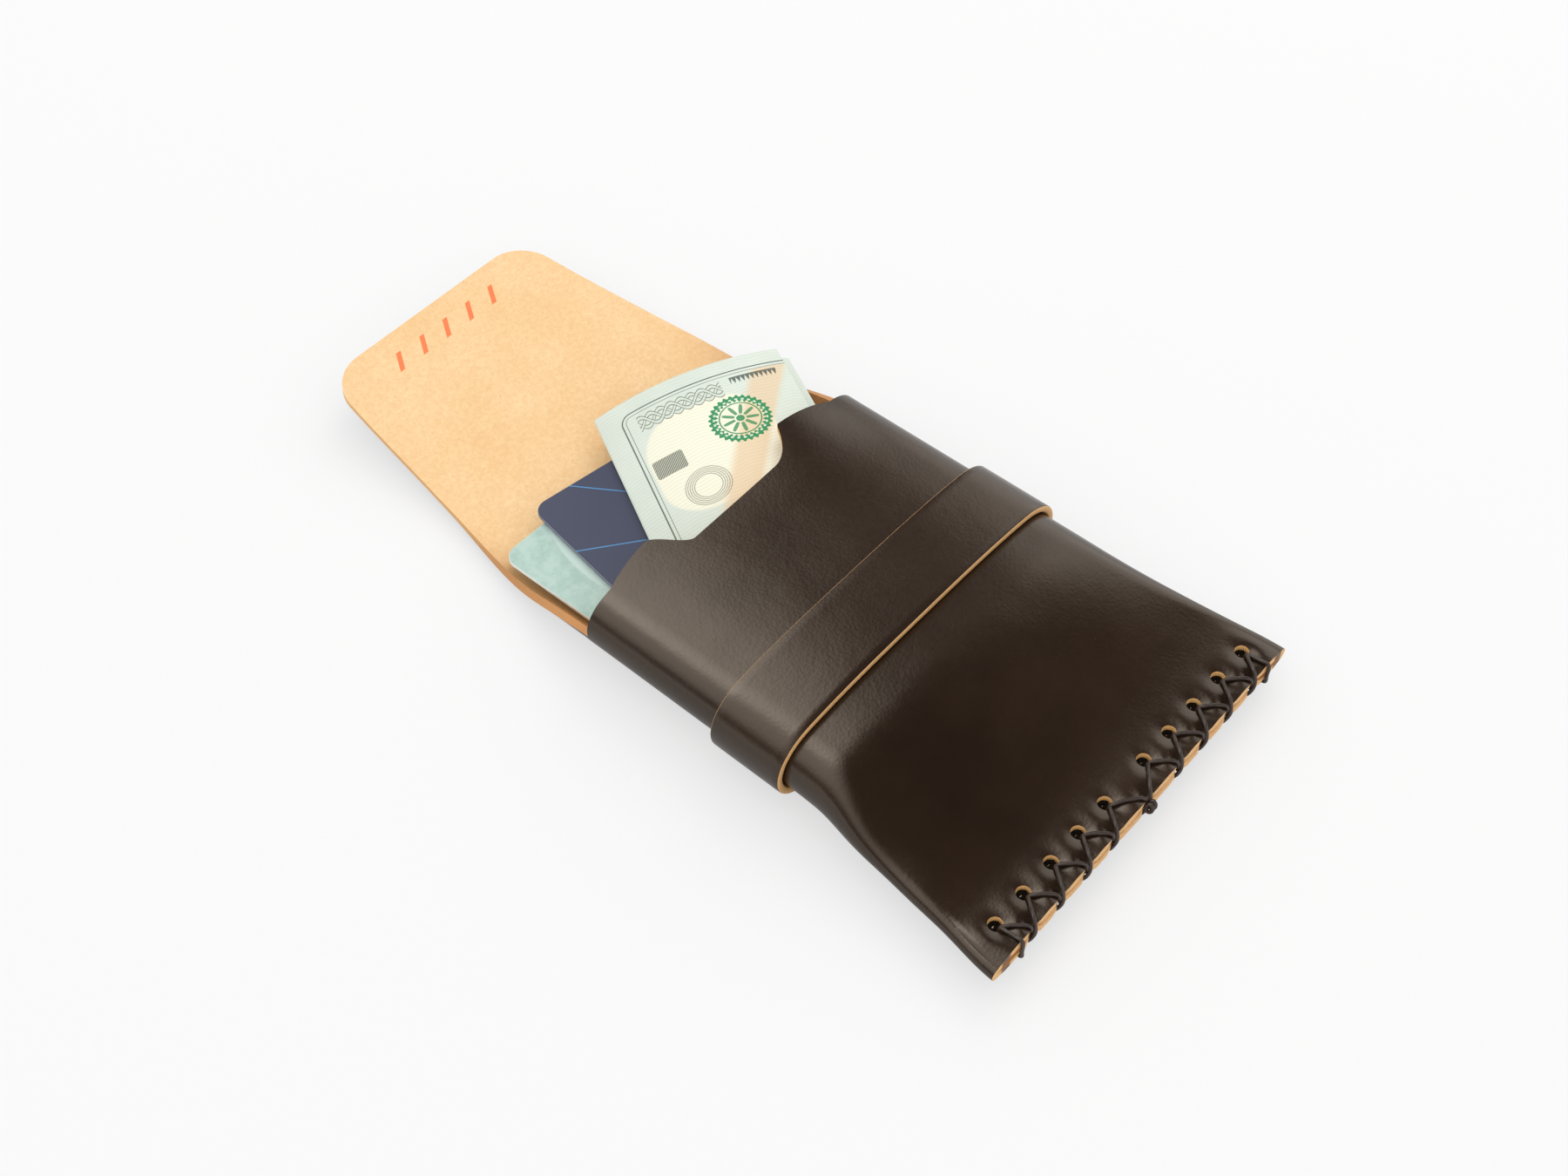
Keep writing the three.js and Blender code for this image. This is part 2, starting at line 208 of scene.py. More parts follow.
# %%
LEATHER = 1.4
LAYER_GAP = 0.3  # between the two layers of the laced end
FIT_GAP = 0.35  # between the tube and the band, and below the tube
REST_GAP = 0.3  # between things that lie on each other
TUBE_WIDTH, TUBE_HEIGHT, TUBE_LENGTH = 74.6, 13.0, 97.4
SEAM_LIFT = 4.4
FLAT_MARGIN, FLARE_LENGTH = 6.8, 36.0
FLARE_END = FLAT_MARGIN + FLARE_LENGTH
CROWN, SIDE_EASE, SEAM_EASE = 1.3, 0.36, 0.6
LEFT_LENS, RIGHT_LENS, LENS_ABOVE = 0.5, 0.12, 0.62  # the front panel has the last share of a bow
LEFT_DRAW, DRAW_Y, LEFT_SPRING, SPRING_Y, PULL_REACH = 0.8, 11, 1.1, 33, 8
LIP_RISE, LIP_REACH, LIP_X, LIP_SPREAD = 1.3, 22.5, 23.0, 17.0
SHOULDER_RISE, NOTCH_FLOOR = 2.8, 93.2
NOTCH_LEFT, NOTCH_RIGHT, NOTCH_LEFT_SLOPE, NOTCH_RIGHT_SLOPE = -18.6, 17.2, 6.4, 7.5
BACK_LIFT = LEATHER + FIT_GAP
BODY_RISE = TUBE_HEIGHT - LEATHER
SEAM_RISE = LEATHER + LAYER_GAP


def smooth(low, high, value):
    t = min(1.0, max(0.0, (value - low) / (high - low)))
    return t * t * (3 - 2 * t)


def mix(a, b, t):
    return a + (b - a) * t


def bell(value, middle, reach):
    return math.exp(-((value - middle) / reach) ** 2)


def side_curve(height, top_slope, low_slope, ease, steps=48):
    """How a side turns from the front panel round to the back, as places and directions.

    Its bend is strongest half-way and fades out towards both panels, as bent leather does."""
    def turn_at(t):
        eased = t - ease * math.sin(2 * math.pi * t) / (2 * math.pi)
        return top_slope + (math.pi - top_slope - low_slope) * eased

    x = z = 0.0
    places = [(x, z, top_slope)]
    for i in range(steps):
        turn = turn_at((i + 0.5) / steps)
        x, z = x + math.cos(turn), z - math.sin(turn)
        places.append((x, z, turn_at((i + 1) / steps)))
    scale = -height / z
    return [(x * scale, z * scale, turn) for x, z, turn in places], scale * steps


@functools.lru_cache(maxsize=None)
def half_section(height, width, t, lens):
    """Half of the tube's section; lens is how much of the height the panels' bow takes in the flare."""
    bowed = lens * 4 * t * (1 - t) * height
    front_bow, back_bow = CROWN * t + LENS_ABOVE * bowed, (1 - LENS_ABOVE) * bowed
    power = mix(1.9, 3, t) + 6 * lens * t * (1 - t)  # a bowed flare has a wide, soft shoulder
    straight = 30.0  # a first guess
    for _ in range(3):  # the panels' slopes at their ends and the sides' reach depend on each other
        slopes = [math.atan(power * bow / straight) for bow in (front_bow, back_bow)]
        side, length = side_curve(height - bowed, *slopes, mix(SEAM_EASE, SIDE_EASE, t))
        straight = width / 2 - max(x for x, _, _ in side)
    base = mix(SEAM_LIFT, BACK_LIFT, t) + LEATHER / 2 + back_bow
    return {
        "straight": straight,
        "back": straight + side[-1][0],
        "side": side,
        "side_length": length,
        "base": base,
        "top": base + height - bowed,
        "front_bow": front_bow,
        "back_bow": back_bow,
        "power": power,
    }


def tube_section(y):
    t = smooth(FLAT_MARGIN, FLARE_END, y)
    height = mix(SEAM_RISE, BODY_RISE, t)
    width = mix(SEAM_WIDTH, TUBE_WIDTH, smooth(0, FLARE_END, y)) - LEATHER
    return {
        "left": half_section(height, width, t, LEFT_LENS),
        "right": half_section(height, width, t, RIGHT_LENS),
        "skew": mix(SEAM_SKEW, 0, t),
        "draw_in": LEFT_DRAW * bell(y, DRAW_Y, PULL_REACH) - LEFT_SPRING * bell(y, SPRING_Y, PULL_REACH),
    }


print("the side's length at the mouth", round(tube_section(TUBE_LENGTH)["right"]["side_length"], 2))

# %% [markdown]
# A column is a zone of the section and how far along that zone it lies.

# %%
def make_columns(front, side, back):
    columns = [("front", 2 * i / front - 1) for i in range(front)]
    columns += [("right", i / side) for i in range(side)]
    columns += [("back", 1 - 2 * i / back) for i in range(back)]
    columns += [("left", i / side) for i in range(side)]
    return columns


def on_side(half, t):
    places = half["side"]
    at = min(max(t, 0.0), 1.0) * (len(places) - 1)
    i = min(int(at), len(places) - 2)
    return [mix(a, b, at - i) for a, b in zip(places[i], places[i + 1])]


def on_panel(reach, bow, power, s):
    """How far a bowed panel rises there, and its slope."""
    lean = power * bow * abs(s) ** (power - 1) * (1 if s > 0 else -1) / reach
    return bow * (1 - abs(s) ** power), lean


def on_section(section, column, y):
    """A place on the section, and the direction away from the tube there."""
    zone, s = column
    half = section["left"] if zone == "left" or zone != "right" and s < 0 else section["right"]
    straight, power = half["straight"], half["power"]
    if zone == "front":
        x = straight * s
        up, lean = on_panel(straight, half["front_bow"], power, s)
        lip_end = TUBE_LENGTH + SHOULDER_RISE
        lift = LIP_RISE * smooth(lip_end - LIP_REACH, lip_end, y) * bell(x, LIP_X, LIP_SPREAD)
        p, n = Vector((x, 0, half["top"] + up + lift * (1 - s ** 6))), Vector((lean, 0, 1))
    elif zone == "back":
        up, lean = on_panel(straight, half["back_bow"], power, s)
        p, n = Vector((half["back"] * s, 0, half["base"] - up)), Vector((lean, 0, -1))
    else:
        sign = 1 if zone == "right" else -1
        x, z, turn = on_side(half, s if sign > 0 else 1 - s)
        p = Vector((sign * (straight + x), 0, half["top"] + z))
        n = Vector((sign * math.sin(turn), 0, math.cos(turn)))
    if p.x < 0:
        p.x += section["draw_in"] * (p.x / 40) ** 2
    p.x += section["skew"]
    return p, n.normalized()


def mouth_at(x):
    across = x / tube_section(TUBE_LENGTH)["right"]["straight"]
    shoulders = TUBE_LENGTH + SHOULDER_RISE * (1 - across ** 4)
    left = smooth(NOTCH_LEFT - 0.5, NOTCH_LEFT + NOTCH_LEFT_SLOPE, x)
    into = min(1.0, max(0.0, (NOTCH_RIGHT + 0.5 - x) / (NOTCH_RIGHT_SLOPE + 0.5)))
    right = smooth(0, 1, into ** 0.55)
    return mix(shoulders, NOTCH_FLOOR, min(left, right))


print("mouth", [round(mouth_at(x), 1) for x in (-30, -15, -5, 5, 15, 30)])


# %% [markdown]
# ## Mesh helpers

# %%
def make_object(name, vertices, faces, materials, face_materials=None, uvs=None):
    mesh = bpy.data.meshes.new(name)
    places = [((v[0] + ACROSS) * MM, (v[1] + LACED) * MM, v[2] * MM) for v in vertices]
    mesh.from_pydata(places, [], faces)
    for material in materials:
        mesh.materials.append(material)
    if face_materials:
        mesh.polygons.foreach_set("material_index", face_materials)
    if uvs:
        layer = mesh.uv_layers.new(name="place")
        for loop in mesh.loops:
            layer.data[loop.index].uv = uvs[loop.vertex_index]
    mesh.polygons.foreach_set("use_smooth", [True] * len(mesh.polygons))
    mesh.update()
    return new_object(name, mesh)


def settle(piece):
    """Replaces the piece's mesh by what its modifiers make of it."""
    graph = bpy.context.evaluated_depsgraph_get()
    mesh = bpy.data.meshes.new_from_object(piece.evaluated_get(graph))
    piece.modifiers.clear()
    piece.data = mesh


def face_outwards(piece, crisp):
    """Turns all faces outwards, and keeps edges crisp from this angle in degrees on."""
    bm = bmesh.new()
    bm.from_mesh(piece.data)
    bmesh.ops.recalc_face_normals(bm, faces=bm.faces)
    bm.to_mesh(piece.data)
    bm.free()
    piece.data.set_sharp_from_angle(angle=math.radians(crisp))


# %% [markdown]
# ## Material helpers
#
# A signal is a number that a shader works out at each point. It adds, multiplies and compares
# like any number, so that masks and patterns read as plain sums.

# %%
class Signal:
    def __init__(self, look, socket):
        self.look, self.socket = look, socket

    def math(self, operation, *others):
        return self.look.math(operation, self, *others)

    def __add__(self, other):
        return self.math("ADD", other)

    def __sub__(self, other):
        return self.math("SUBTRACT", other)

    def __rsub__(self, other):
        return self.look.math("SUBTRACT", other, self)

    def __mul__(self, other):
        return self.math("MULTIPLY", other)

    def __abs__(self):
        return self.math("ABSOLUTE")

    def __gt__(self, other):
        return self.math("GREATER_THAN", other)

    def __lt__(self, other):
        return self.math("LESS_THAN", other)

    def sine(self):
        return self.math("SINE")

    def fraction(self):
        return self.math("FRACT")

    def between(self, low, high):
        return (self > low) * (self < high)

    def fade(self, start, end):
        """From 0 at the start to 1 at the end."""
        node = self.look.node("ShaderNodeMapRange", Value=self, From_Min=start, From_Max=end)
        node.interpolation_type = "SMOOTHSTEP"
        return Signal(self.look, node.outputs[0])


def distance(across, along):
    return (across * across + along * along).math("SQRT")


class Look:
    """A material with short calls for its nodes."""

    def __init__(self, name, **values):
        self.material = bpy.data.materials.new(name)
        self.material.use_nodes = True
        self.tree = self.material.node_tree
        self.shader = self.tree.nodes["Principled BSDF"]
        for key, value in values.items():
            self.feed(self.shader.inputs[key.replace("_", " ")], value)

    def node(self, kind, **inputs):
        node = self.tree.nodes.new(kind)
        for key, value in inputs.items():
            name = key.replace("_", " ")
            if name in node.inputs:
                self.feed(node.inputs[name], value)
            else:
                setattr(node, key, value)
        return node

    def feed(self, socket, value):
        if isinstance(value, Signal):
            value = value.socket
        if isinstance(value, bpy.types.NodeSocket):
            self.tree.links.new(value, socket)
        elif hasattr(value, "__len__") and len(value) == 3 and len(socket.default_value) == 4:
            socket.default_value = (*value, 1)
        else:
            socket.default_value = value

    def place(self):
        return self.node("ShaderNodeTexCoord").outputs["Object"]

    def where(self):
        """Millimetres across from the tube's middle, and along from the laced edge."""
        parts = self.node("ShaderNodeSeparateXYZ", Vector=self.place())
        return [self.math("MULTIPLY_ADD", parts.outputs[axis], 1 / MM, -start)
                for axis, start in (("X", ACROSS), ("Y", LACED))]

    def print_place(self):
        """The place on a printed sheet: from 0 to 1 across and from 0 to 1 up."""
        uv = self.node("ShaderNodeUVMap", uv_map="place")
        parts = self.node("ShaderNodeSeparateXYZ", Vector=uv.outputs[0])
        return Signal(self, parts.outputs["X"]), Signal(self, parts.outputs["Y"])

    def math(self, operation, a, b=0.0, c=0.0):
        node = self.tree.nodes.new("ShaderNodeMath")
        node.operation = operation
        for socket, value in zip(node.inputs, (a, b, c)):
            self.feed(socket, value)
        return Signal(self, node.outputs[0])

    def noise(self, scale, detail=4.0, roughness=0.5):
        node = self.node("ShaderNodeTexNoise", Vector=self.place(), Scale=scale, Detail=detail)
        node.inputs["Roughness"].default_value = roughness
        return Signal(self, node.outputs["Fac"])

    def pores(self, scale):
        node = self.node("ShaderNodeTexVoronoi", Vector=self.place(), Scale=scale)
        return Signal(self, node.outputs["Distance"])

    def ramp(self, value, *stops):
        node = self.node("ShaderNodeValToRGB", Fac=value)
        elements = node.color_ramp.elements
        while len(elements) < len(stops):
            elements.new(0.5)
        for element, (at, level) in zip(elements, stops):
            element.position = at
            element.color = (level, level, level, 1)
        return Signal(self, node.outputs["Color"])

    def blend(self, share, a, b):
        node = self.tree.nodes.new("ShaderNodeMix")
        node.data_type = "RGBA"
        factor, first, second = node.inputs[0], node.inputs[6], node.inputs[7]  # those of its colour mode
        for socket, value in ((factor, share), (first, a), (second, b)):
            self.feed(socket, value)
        return node.outputs[2]

    def bump(self, *layers):
        """Each layer is a height and how deep it is, in metres."""
        normal = None
        for height, depth in layers:
            node = self.node("ShaderNodeBump", Height=height, Distance=depth)
            if normal:
                self.feed(node.inputs["Normal"], normal)
            normal = node.outputs["Normal"]
        self.feed(self.shader.inputs["Normal"], normal)

    def color(self, value):
        self.feed(self.shader.inputs["Base Color"], value)

    def rough(self, value):
        self.feed(self.shader.inputs["Roughness"], value)


def srgb(r, g, b):
    return tuple((v / 255 / 12.92) if v <= 10 else ((v / 255 + 0.055) / 1.055) ** 2.4 for v in (r, g, b))


# %% [markdown]
# ## Leather
#
# The outer side is a smooth, dark brown grain with a soft sheen.

# %%
outer = Look("leather outer", Specular_IOR_Level=0.5, Specular_Tint=(1.0, 0.9, 0.78))
broad = outer.noise(38, 3, 0.55)
cells = outer.pores(1500)
fine = outer.noise(700, 5, 0.6)
grain = outer.noise(3000, 3, 0.6)
outer.color(outer.blend(outer.ramp(broad, (0.32, 0), (0.72, 1)), srgb(34, 22, 14), srgb(45, 31, 21)))
outer.rough(grain * 0.12 + (fine * 0.08 + 0.13))
outer.bump((broad, 0.0002), (fine, 0.000012), (cells, 0.00001), (grain, 0.000008))
print("outer leather")

# %% [markdown]
# The inner side is undyed tan, mottled and slightly fibrous. The curled sides behind the mouth
# carry a painted shade of deeper brown, and a plain row of short printed ticks stands near the flap's tip.

# %%
FLAP_LENGTH = 86.0
TICK_PITCH, TICK_COUNT, TICK_SLANT = 6.4, 5, 0.6
TICK_Y = TUBE_LENGTH + FLAP_LENGTH - 6.8

inner = Look("leather inner", Roughness=0.62)
mottle = inner.noise(80, 5, 0.6)
flecks = inner.noise(850, 5, 0.65)
fibre = inner.noise(1500, 4, 0.7)
tan = inner.blend(inner.ramp(mottle, (0.3, 0), (0.7, 1)), srgb(246, 205, 150), srgb(251, 217, 168))
tan = inner.blend(inner.ramp(flecks, (0.42, 0.26), (0.6, 0)), tan, srgb(228, 176, 114))
tan = inner.blend(inner.ramp(fibre, (0.35, 0), (0.7, 0.35)), tan, srgb(222, 172, 112))
specks = inner.pores(170).fade(0.05, 0.03) * (inner.noise(90, 2) > 0.52)
tan = inner.blend(specks * 0.55, tan, srgb(176, 118, 70))

x_mm, y_mm = inner.where()
# painted shade: the curled sides behind the mouth are darkened to a deeper brown
painted_curl_shade = abs(x_mm).fade(28, 36) * y_mm.fade(150, 104)
tan = inner.blend(painted_curl_shade * 0.85, tan, srgb(198, 134, 72))

up = y_mm - TICK_Y
from_tick = ((x_mm * (1 / TICK_PITCH) + 100.5).fraction() - 0.5) * TICK_PITCH
from_tick = abs(from_tick - up * TICK_SLANT)
ticks = from_tick.fade(0.66, 0.56) * abs(up).fade(2.1, 1.95) * (abs(x_mm) < TICK_COUNT / 2 * TICK_PITCH)
tan = inner.blend(ticks * 0.9, tan, srgb(244, 116, 58))
inner.color(tan)
inner.bump((flecks, 0.00006), (fibre, 0.00006), (inner.pores(1700), 0.00003))
print("inner leather with", TICK_COUNT, "ticks")

# %% [markdown]
# The cut edges are raw tan too. The laced edge is darker next to each crossing of the thread,
# the raw walls of the holes get painted light, and the cut edge of the curled sides gets painted shade.

# %%
HOLE_R, HOLE_INSET, HOLE_PITCH, HOLES, MIDDLE_GAP = 1.35, 5.2, 7.5, 5, 11.3

edge = Look("leather edge", Roughness=0.6)
strata = edge.noise(2200, 3, 0.6)
raw = edge.blend(strata, srgb(206, 150, 88), srgb(240, 194, 134))
x_mm, y_mm = edge.where()
x_mm = abs(x_mm)
in_middle = x_mm < MIDDLE_GAP / 2
in_pitch = (x_mm - MIDDLE_GAP / 2).math("FLOORED_MODULO", HOLE_PITCH) - HOLE_PITCH / 2
from_thread = abs(in_pitch) * (1.0 - in_middle) + x_mm * in_middle
# darker next to each crossing of the thread over the laced edge
darker_at_crossings = from_thread.fade(1.5, 0.7) * (y_mm < 2.6)
raw = edge.blend(darker_at_crossings * 0.85, raw, srgb(58, 42, 32))
# painted light: the walls of the holes are raw cut leather, made lighter than the other cut edges as if lit
painted_light_hole_walls = y_mm.fade(3.2, 3.5) * y_mm.fade(7.4, 7.1)
raw = edge.blend(painted_light_hole_walls, raw, srgb(255, 208, 140))
# painted shade: the cut edge of the curled sides behind the mouth is darkened
painted_curl_edge_shade = x_mm.fade(28, 34) * y_mm.fade(95, 99) * y_mm.fade(156, 118)
raw = edge.blend(painted_curl_edge_shade * 0.8, raw, srgb(182, 122, 66))
edge.color(raw)
edge.bump((strata, 0.00008), (edge.noise(700, 3), 0.0001))
LEATHERS = [outer.material, inner.material, edge.material]
OUTSIDE, INSIDE, CUT = range(3)
print("leathers", [m.name for m in LEATHERS])

# %% [markdown]
# ## The sleeve: one sheet, wrapped and laced
#
# The sheet's middle surface is a grid of rows and columns. The front panel is uneven by a trace,
# and at the laced end it puckers under the tight thread.

# %%
RELIEF = 0.09
SWELL, SEAM_SWELL, HOLE_DIP_R, CROSSING_DIP_R, SCALLOP, SCALLOP_R = 0.1, 0.55, 2.0, 1.7, 0.9, 1.0
POCKET_Z = SEAM_LIFT + LEATHER + LAYER_GAP / 2  # between the two layers of the laced end
RIGHT_XS = [MIDDLE_GAP / 2 + i * HOLE_PITCH for i in range(HOLES)]
HOLE_XS = [-x for x in reversed(RIGHT_XS)] + RIGHT_XS
CROSSING_XS = [(a + b) / 2 for a, b in zip(HOLE_XS, HOLE_XS[1:])]


def leather_relief(x, y):
    """Slow unevenness of the front panel, well under a fifth of a millimetre."""
    v = noise.noise(Vector((x / 24, y / 17, 1.7))) + 0.5 * noise.noise(Vector((x / 9, y / 8, 5.1)))
    return RELIEF * v * smooth(8, 24, y) * (1 - smooth(80, 97, y))


def pucker(x, y):
    """The pressed end swells a little, and the tight thread holds it down in dimples."""
    swell = SWELL + SEAM_SWELL * (1 - smooth(4, 11, y))
    swell *= 1 - smooth(SEAM_WIDTH / 2 - 5, SEAM_WIDTH / 2 - 1, abs(x - SEAM_SKEW))
    by_holes = [math.hypot(x - hole, (y - HOLE_INSET + 0.8) * 0.8) for hole in HOLE_XS]
    by_crossings = [math.hypot((x - crossing) * 1.1, y - 0.2) for crossing in CROSSING_XS]
    dip = max(bell(min(by_holes), 0, HOLE_DIP_R), bell(min(by_crossings), 0, CROSSING_DIP_R))
    return swell * (1 - smooth(9, 15, y)) * (1 - 1.15 * dip) - 0.04 * dip


def scallop(x):
    """The laced edge is drawn in under each crossing of the thread."""
    return sum(SCALLOP * bell(x, crossing, SCALLOP_R) for crossing in CROSSING_XS)


print("holes at x", HOLE_XS)

# %% [markdown]
# Along the tube the rows are drawn in to the notch in the front panel.

# %%
FRONT, SIDE, BACK = 118, 20, 58
COLUMNS = make_columns(FRONT, SIDE, BACK)
MARGIN_ROWS, FLARE_ROWS, BODY_ROWS = 9, 28, 34
TUBE_ROWS = MARGIN_ROWS + FLARE_ROWS + BODY_ROWS


def tube_row_y(row):
    if row <= MARGIN_ROWS:
        return row / MARGIN_ROWS * FLAT_MARGIN
    if row <= MARGIN_ROWS + FLARE_ROWS:
        return FLAT_MARGIN + (row - MARGIN_ROWS) / FLARE_ROWS * FLARE_LENGTH
    return mix(FLARE_END, TUBE_LENGTH, (row - MARGIN_ROWS - FLARE_ROWS) / BODY_ROWS)


def tube_point(row, column):
    zone, s = column
    even = tube_row_y(row)
    guess, _ = on_section(tube_section(even), column, even)
    limit = mouth_at(guess.x) if zone == "front" else TUBE_LENGTH
    y = even
    if even > FLARE_END:
        y = FLARE_END + (even - FLARE_END) * (limit - FLARE_END) / (TUBE_LENGTH - FLARE_END)
    p, n = on_section(tube_section(y), column, y)
    if zone == "front":
        p = p + n * (leather_relief(p.x, y) * (1 - s ** 8) + pucker(p.x, y))
    if zone == "back":
        p = p + n * pucker(p.x, y)
    return Vector((p.x, y + scallop(p.x) * (1 - smooth(0, 4, y)), p.z))


print("tube rows end at", [round(tube_row_y(row), 1) for row in (MARGIN_ROWS, TUBE_ROWS)])

# %% [markdown]
# Past the mouth only the back half goes on. Its curled sides open flat, the flap comes down to
# the table, and its tip rises a little.

# %%
FLAP_ROWS, TIP_ROWS = 54, 10
FLAP_TIP_WIDTH, FLAP_CORNER = 53.6, 7.5
FLAP_SKEW, TIP_SKEW, SKEW_START, SKEW_FULL = 1.7, 0.5, 15.0, 45.0
FLAP_TOUCH, FLAP_TIP_RISE = 22.0, 8.6
CURL_START, CURL_END = -14, 52
SPRING_OUT, SPRING_PAST, SPRING_REACH = 0.9, 4, 9


def flap_centre_height(past):
    dip = BACK_LIFT * smooth(0, FLAP_TOUCH, past)
    rise = max(0.0, (past - FLAP_TOUCH) / (FLAP_LENGTH - FLAP_TOUCH))
    return BACK_LIFT + LEATHER / 2 - dip + FLAP_TIP_RISE * rise ** 1.6


def flap_half_width(past, start):
    half = mix(start, FLAP_TIP_WIDTH / 2, past / FLAP_LENGTH)
    into = max(0.0, past - (FLAP_LENGTH - FLAP_CORNER))
    return half - FLAP_CORNER + math.sqrt(max(0.0, FLAP_CORNER ** 2 - into ** 2))


def flap_past(step):
    plain = FLAP_ROWS - TIP_ROWS
    if step <= plain:
        return step / plain * (FLAP_LENGTH - FLAP_CORNER)
    turn = (step - plain) / TIP_ROWS * math.pi / 2
    return FLAP_LENGTH - FLAP_CORNER + FLAP_CORNER * math.sin(turn)


def flap_point(step, column):
    zone, s = column
    past = flap_past(step)
    section = tube_section(TUBE_LENGTH)["right"]
    flat_half = section["back"] + section["side_length"] / 2
    even_half = flap_half_width(past, flat_half)
    half = even_half
    if zone == "left":  # the left side springs out a little just behind the mouth
        half += SPRING_OUT * smooth(0, SPRING_PAST, past) * bell(past, SPRING_PAST, SPRING_REACH)
    scale = half / flat_half
    lean = mix(FLAP_SKEW, TIP_SKEW, smooth(SKEW_FULL, FLAP_LENGTH, past))
    lean *= smooth(SKEW_START, SKEW_FULL, past)
    z = flap_centre_height(past)
    if zone in ("back", "front"):
        return Vector((section["back"] * s * scale + lean, TUBE_LENGTH + past, z))
    sign = 1 if zone == "right" else -1
    curled = (1 - smooth(CURL_START, CURL_END, past)) / (1 - smooth(CURL_START, CURL_END, 0))
    share = 1 - s if sign > 0 else s  # how far up the side, out of its whole length
    x, steps = section["back"] * even_half / flat_half, 24
    for i in range(steps):
        part = (i + 0.5) / steps * share
        turn = (math.pi - on_side(section, 1 - part)[2]) * curled
        step_length = share * section["side_length"] * scale / steps
        x, z = x + math.cos(turn) * step_length, z + math.sin(turn) * step_length
    return Vector((sign * x + lean, TUBE_LENGTH + past, z))


print("flap tip at y", TUBE_LENGTH + flap_past(FLAP_ROWS))

# %% [markdown]
# The grid becomes one sheet with its real thickness. The holes are cut out of it, and all cut
# edges are rounded a little.

# %%
CUT_ROUND, CRISP = 0.22, 50  # the cut edges' rounding, and the angle from which an edge is one
PUNCH_LENGTH, PUNCH_SIDES = 30, 32


def sleeve_sheet():
    count = len(COLUMNS)
    vertices = [tube_point(row, column) for row in range(TUBE_ROWS + 1) for column in COLUMNS]
    vertices += [flap_point(step, column) for step in range(1, FLAP_ROWS + 1) for column in COLUMNS]
    first, last = FRONT + SIDE // 2, FRONT + SIDE + BACK + SIDE // 2
    faces = []
    for row in range(TUBE_ROWS + FLAP_ROWS):
        for c in range(count):
            if row >= TUBE_ROWS and not first <= c < last:
                continue
            d = (c + 1) % count
            a, b = row * count, (row + 1) * count
            faces.append((a + c, a + d, b + d, b + c))
    sheet = make_object("sleeve_leather", vertices, faces, LEATHERS)
    bm = bmesh.new()
    bm.from_mesh(sheet.data)
    bmesh.ops.delete(bm, geom=[v for v in bm.verts if not v.link_faces], context="VERTS")
    bm.to_mesh(sheet.data)
    bm.free()
    thick = sheet.modifiers.new("thick", "SOLIDIFY")
    thick.thickness = LEATHER * MM
    thick.offset = 0
    thick.use_even_offset = True
    thick.material_offset = INSIDE
    thick.material_offset_rim = CUT
    return sheet


def punch_holes(sheet):
    bm = bmesh.new()
    for x in HOLE_XS:
        place = Matrix.Translation(((x + ACROSS) * MM, (HOLE_INSET + LACED) * MM, SEAM_LIFT * MM))
        bmesh.ops.create_cone(bm, cap_ends=True, segments=PUNCH_SIDES, radius1=HOLE_R * MM,
                              radius2=HOLE_R * MM, depth=PUNCH_LENGTH * MM, matrix=place)
    mesh = bpy.data.meshes.new("punch")
    bm.to_mesh(mesh)
    bm.free()
    mesh.materials.append(LEATHERS[CUT])
    punch = new_object("punch", mesh)
    cut = sheet.modifiers.new("holes", "BOOLEAN")
    cut.operation = "DIFFERENCE"
    cut.solver = "EXACT"
    cut.object = punch
    cut.material_mode = "TRANSFER"
    settle(sheet)
    bpy.data.objects.remove(punch)


sleeve = sleeve_sheet()
punch_holes(sleeve)
round_edges = sleeve.modifiers.new("rounded cut", "BEVEL")
round_edges.width = CUT_ROUND * MM
round_edges.segments = 3
round_edges.limit_method = "ANGLE"
round_edges.angle_limit = math.radians(CRISP)
round_edges.harden_normals = True
round_edges.material = CUT
settle(sleeve)
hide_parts("sleeve")
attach(sleeve, "wallet")
print("sleeve faces", len(sleeve.data.polygons), [m.name for m in sleeve.data.materials])

# %% [markdown]
# ## Keeper band
#
# A strip of the same leather, cut raw: its tan edges show as thin light lines.

# %%
BAND_START, BAND_WIDTH, BAND_ROUND = 49.4, 15.8, 0.22


def band_profile():
    """The strip's own section: place across its width, height over the sleeve, and which leather."""
    half, low, r = BAND_WIDTH / 2, LEATHER / 2 + FIT_GAP, BAND_ROUND
    high = low + LEATHER
    profile = [(-half + r, high, OUTSIDE)]
    profile += [(mix(-half + r, half - r, i / 10), high, OUTSIDE) for i in range(1, 10)]
    profile += [(half - r, high, OUTSIDE), (half - r * 0.6, high - r * 0.1, CUT)]
    profile += [(half - r * 0.3, high - r * 0.3, CUT), (half, high - r, CUT), (half, low + r, CUT)]
    profile += [(half - r, low, INSIDE), (-half + r, low, CUT), (-half, low + r, CUT)]
    return profile + [(-half, high - r, CUT), (-half + r * 0.3, high - r * 0.3, OUTSIDE)]


def band_ring():
    middle = BAND_START + BAND_WIDTH / 2
    section = tube_section(middle)
    columns, profile = make_columns(60, 24, 24), band_profile()
    vertices, faces, kinds = [], [], []
    rings, count = len(columns), len(profile)
    for column in columns:
        p, n = on_section(section, column, middle)
        for along, away, _ in profile:
            q = p + n * away
            vertices.append((q.x, middle + along, q.z))
    for i in range(rings):
        j = (i + 1) % rings
        for k in range(count):
            m = (k + 1) % count
            faces.append((i * count + k, i * count + m, j * count + m, j * count + k))
            kinds.append(profile[k][2])
    return make_object("keeper_band_leather", vertices, faces, LEATHERS, kinds)


band = band_ring()
face_outwards(band, CRISP)
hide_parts("keeper_band")
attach(band, "keeper")
print("band faces", len(band.data.polygons))

# %% [markdown]
# ## Lacing
#
# A waxed thread of twisted plies crosses over the pressed edge between the holes.

